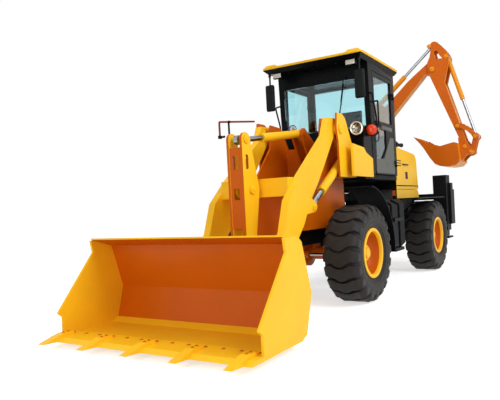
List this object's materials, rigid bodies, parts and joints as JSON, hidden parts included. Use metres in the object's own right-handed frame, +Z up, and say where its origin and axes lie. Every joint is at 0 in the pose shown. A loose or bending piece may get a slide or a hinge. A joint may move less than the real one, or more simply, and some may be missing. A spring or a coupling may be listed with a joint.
{
  "type": "backhoe loader",
  "caption": "Four-wheel backhoe loader with a closed cab, a Z-bar front loader bucket and a side-shift backhoe folded across its rear, with working joints.",
  "frame": {"origin": "middle of the whole machine's footprint, on the ground", "axes": "+Z up, -Y forward (the loader bucket's end), +X towards the machine's left"},
  "size_m": [2.396, 6.97, 3.862],
  "materials": {
    "yellow_enamel": "gloss enamel",
    "orange_enamel": "gloss enamel",
    "black_enamel": "satin enamel",
    "tyre_rubber": "matt moulded rubber",
    "chromed_rod": "polished",
    "tinted_glass": "clear",
    "grey_plastic": "satin",
    "seat_vinyl": "grained vinyl",
    "red_enamel": "gloss",
    "lamp_lens": "clear",
    "cast_iron": "painted"
  },
  "bodies": {
    "root": {"main_frame": "yellow_enamel", "loader_tower": "yellow_enamel", "front_axle": "yellow_enamel", "rear_axle": "yellow_enamel", "driveline": "cast_iron", "engine_block": "cast_iron", "cab_floor": "black_enamel", "cab_frame": "black_enamel", "cab_roof": "yellow_enamel", "cab_glass": "tinted_glass", "operator_seat": "seat_vinyl", "cab_controls": "black_enamel", "side_panels": "yellow_enamel", "front_fenders": "black_enamel", "steps": "black_enamel", "rear_body": "black_enamel", "lamps": "lamp_lens", "mirrors": "black_enamel", "hoe_frame": "black_enamel"},
    "knuckle_left": {"knuckle_left": "yellow_enamel"},
    "knuckle_right": {"knuckle_right": "yellow_enamel"},
    "steering_rod": {"steering_rod": "chromed_rod"},
    "wheel_front_left": {"tyre_front_left": "tyre_rubber", "rim_front_left": "yellow_enamel"},
    "wheel_front_right": {"tyre_front_right": "tyre_rubber", "rim_front_right": "yellow_enamel"},
    "wheel_rear_left": {"tyre_rear_left": "tyre_rubber", "rim_rear_left": "yellow_enamel"},
    "wheel_rear_right": {"tyre_rear_right": "tyre_rubber", "rim_rear_right": "yellow_enamel"},
    "lift_arms": {"loader_arms": "yellow_enamel"},
    "lift_barrels": {"lift_barrels": "yellow_enamel"},
    "lift_rods": {"lift_rods": "chromed_rod"},
    "loader_bucket": {"loader_bucket": "yellow_enamel"},
    "bellcrank": {"bellcrank": "yellow_enamel", "level_rod": "red_enamel"},
    "bucket_link": {"bucket_link": "yellow_enamel"},
    "tilt_barrel": {"tilt_barrel": "yellow_enamel"},
    "tilt_rod": {"tilt_rod": "chromed_rod"},
    "carriage": {"hoe_carriage": "black_enamel"},
    "swing_post": {"swing_post": "orange_enamel"},
    "boom": {"boom": "orange_enamel"},
    "boom_ram_barrel": {"boom_ram_barrel": "orange_enamel"},
    "boom_ram_rod": {"boom_ram_rod": "chromed_rod"},
    "dipper": {"dipper": "orange_enamel"},
    "dipper_ram_barrel": {"dipper_ram_barrel": "orange_enamel"},
    "dipper_ram_rod": {"dipper_ram_rod": "chromed_rod"},
    "hoe_bucket": {"hoe_bucket": "orange_enamel"},
    "tipping_lever": {"tipping_lever": "orange_enamel"},
    "tipping_link": {"tipping_link": "orange_enamel"},
    "bucket_ram_barrel": {"bucket_ram_barrel": "orange_enamel"},
    "bucket_ram_rod": {"bucket_ram_rod": "chromed_rod"},
    "stabiliser_left": {"stabiliser_left": "black_enamel"},
    "stabiliser_right": {"stabiliser_right": "black_enamel"},
    "door_left": {"door_left": "grey_plastic"},
    "door_right": {"door_right": "grey_plastic"},
    "hood": {"hood": "yellow_enamel", "air_cleaner": "black_enamel"}
  },
  "joints": [
    {"name": "steer", "type": "hinge", "parent": "root", "child": "knuckle_left", "pos_m": [0.404, -0.795, 0.5375], "axis": [0, 0, 1], "range_deg": [-25, 25]},
    {"name": "steer_right", "type": "hinge", "parent": "root", "child": "knuckle_right", "pos_m": [-0.676, -0.795, 0.5375], "axis": [0, 0, 1], "range_deg": [-26, 26]},
    {"name": "steer_rod", "type": "slide", "parent": "root", "child": "steering_rod", "axis": [1, 0, 0], "range_m": [-0.085, 0.085]},
    {"name": "wheel_front_left", "type": "hinge", "parent": "knuckle_left", "child": "wheel_front_left", "pos_m": [0.589, -0.795, 0.5375], "axis": [1, 0, 0], "continuous": true},
    {"name": "wheel_front_right", "type": "hinge", "parent": "knuckle_right", "child": "wheel_front_right", "pos_m": [-0.861, -0.795, 0.5375], "axis": [1, 0, 0], "continuous": true},
    {"name": "wheel_rear_left", "type": "hinge", "parent": "root", "child": "wheel_rear_left", "pos_m": [0.589, 1.85, 0.5375], "axis": [1, 0, 0], "continuous": true},
    {"name": "wheel_rear_right", "type": "hinge", "parent": "root", "child": "wheel_rear_right", "pos_m": [-0.861, 1.85, 0.5375], "axis": [1, 0, 0], "continuous": true},
    {"name": "lift_arms", "type": "hinge", "parent": "root", "child": "lift_arms", "pos_m": [-0.136, -0.745, 1.945], "axis": [-1, 0, 0], "range_deg": [0, 75]},
    {"name": "lift_barrels", "type": "hinge", "parent": "root", "child": "lift_barrels", "pos_m": [-0.136, -0.445, 1.665], "axis": [-1, 0, 0], "range_deg": [-0.5, 69.78]},
    {"name": "lift_rods", "type": "slide", "parent": "lift_barrels", "child": "lift_rods", "axis": [0, -0.8384, -0.545], "range_m": [-0.005, 0.4427]},
    {"name": "loader_bucket", "type": "hinge", "parent": "lift_arms", "child": "loader_bucket", "pos_m": [-0.136, -2.395, 0.29], "axis": [1, 0, 0], "range_deg": [-40, 70]},
    {"name": "bellcrank", "type": "hinge", "parent": "lift_arms", "child": "bellcrank", "pos_m": [-0.136, -1.885, 1.28], "axis": [1, 0, 0], "range_deg": [-21.43, 12.46]},
    {"name": "bucket_link", "type": "hinge", "parent": "bellcrank", "child": "bucket_link", "pos_m": [-0.136, -1.945, 0.64], "axis": [1, 0, 0], "range_deg": [-17.64, 30.49]},
    {"name": "tilt_barrel", "type": "hinge", "parent": "root", "child": "tilt_barrel", "pos_m": [-0.136, -0.745, 1.945], "axis": [-1, 0, 0], "range_deg": [0, 76]},
    {"name": "tilt_rod", "type": "slide", "parent": "tilt_barrel", "child": "tilt_rod", "axis": [0, -0.9895, -0.1443], "range_m": [-0.1753, 0.1023]},
    {"name": "side_shift", "type": "slide", "parent": "root", "child": "carriage", "axis": [1, 0, 0], "range_m": [0, 0.9]},
    {"name": "swing", "type": "hinge", "parent": "carriage", "child": "swing_post", "pos_m": [-0.586, 3.185, 0.9], "axis": [0, 0, 1], "range_deg": [0, 180]},
    {"name": "boom", "type": "hinge", "parent": "swing_post", "child": "boom", "pos_m": [-0.316, 3.185, 0.95], "axis": [0, 1, 0], "range_deg": [0, 95]},
    {"name": "boom_ram", "type": "hinge", "parent": "swing_post", "child": "boom_ram_barrel", "pos_m": [-0.166, 3.185, 0.77], "axis": [0, 1, 0], "range_deg": [-0.5, 101.09]},
    {"name": "boom_rod", "type": "slide", "parent": "boom_ram_barrel", "child": "boom_ram_rod", "axis": [-0.0306, 0, 0.9995], "range_m": [-0.377, 0.005]},
    {"name": "dipper", "type": "hinge", "parent": "boom", "child": "dipper", "pos_m": [0.464, 3.185, 3.38], "axis": [0, -1, 0], "range_deg": [0, 70]},
    {"name": "dipper_ram", "type": "hinge", "parent": "boom", "child": "dipper_ram_barrel", "pos_m": [-0.616, 3.185, 2.9], "axis": [0, -1, 0], "range_deg": [-0.5, 4.86]},
    {"name": "dipper_rod", "type": "slide", "parent": "dipper_ram_barrel", "child": "dipper_ram_rod", "axis": [0.7598, 0, 0.6502], "range_m": [-0.5259, 0.005]},
    {"name": "hoe_bucket", "type": "hinge", "parent": "dipper", "child": "hoe_bucket", "pos_m": [0.972, 3.185, 1.967], "axis": [0, -1, 0], "range_deg": [0, 100]},
    {"name": "tipping_lever", "type": "hinge", "parent": "dipper", "child": "tipping_lever", "pos_m": [0.864, 3.185, 2.33], "axis": [0, -1, 0], "range_deg": [-0.5, 40.75]},
    {"name": "tipping_link", "type": "hinge", "parent": "tipping_lever", "child": "tipping_link", "pos_m": [1.149, 3.185, 2.125], "axis": [0, -1, 0], "range_deg": [-58.94, 0.5]},
    {"name": "bucket_ram", "type": "hinge", "parent": "dipper", "child": "bucket_ram_barrel", "pos_m": [0.714, 3.185, 3.565], "axis": [0, -1, 0], "range_deg": [-0.5, 6.89]},
    {"name": "bucket_rod", "type": "slide", "parent": "bucket_ram_barrel", "child": "bucket_ram_rod", "axis": [0.2892, 0, -0.9573], "range_m": [-0.1803, 0.005]},
    {"name": "stabiliser_left", "type": "slide", "parent": "root", "child": "stabiliser_left", "axis": [0, 0, -1], "range_m": [0, 0.42]},
    {"name": "stabiliser_right", "type": "slide", "parent": "root", "child": "stabiliser_right", "axis": [0, 0, -1], "range_m": [0, 0.42]},
    {"name": "door_left", "type": "hinge", "parent": "root", "child": "door_left", "pos_m": [0.532, 0.741, 2.1], "axis": [0, 0, 1], "range_deg": [0, 80]},
    {"name": "door_right", "type": "hinge", "parent": "root", "child": "door_right", "pos_m": [-0.804, 0.741, 2.1], "axis": [0, 0, -1], "range_deg": [0, 80]},
    {"name": "hood", "type": "hinge", "parent": "root", "child": "hood", "pos_m": [-0.136, 1.905, 1.238], "axis": [-1, 0, 0], "range_deg": [0, 50]}
  ],
  "couplings": [
    {"joint": "steer_right", "follows": "steer", "ratio": 1},
    {"joint": "steer_rod", "follows": "steer", "m_per_rad": 0.1715},
    {"joint": "lift_barrels", "follows": "lift_arms", "ratio": 0.8032},
    {"joint": "lift_rods", "follows": "lift_arms", "m_per_rad": 0.30396},
    {"joint": "bellcrank", "follows": "loader_bucket", "ratio": -0.26},
    {"joint": "bucket_link", "follows": "loader_bucket", "ratio": 0.37254},
    {"joint": "tilt_barrel", "follows": "lift_arms", "ratio": 1},
    {"joint": "tilt_rod", "follows": "loader_bucket", "m_per_rad": -0.1267},
    {"joint": "boom_ram", "follows": "boom", "ratio": 0.9207},
    {"joint": "boom_rod", "follows": "boom", "m_per_rad": -0.20395},
    {"joint": "dipper_ram", "follows": "dipper", "ratio": 0.0541},
    {"joint": "dipper_rod", "follows": "dipper", "m_per_rad": -0.38763},
    {"joint": "tipping_lever", "follows": "hoe_bucket", "ratio": 0.35},
    {"joint": "tipping_link", "follows": "hoe_bucket", "ratio": -0.50821},
    {"joint": "bucket_ram", "follows": "hoe_bucket", "ratio": 0.0556},
    {"joint": "bucket_rod", "follows": "hoe_bucket", "m_per_rad": -0.09131}
  ]
}
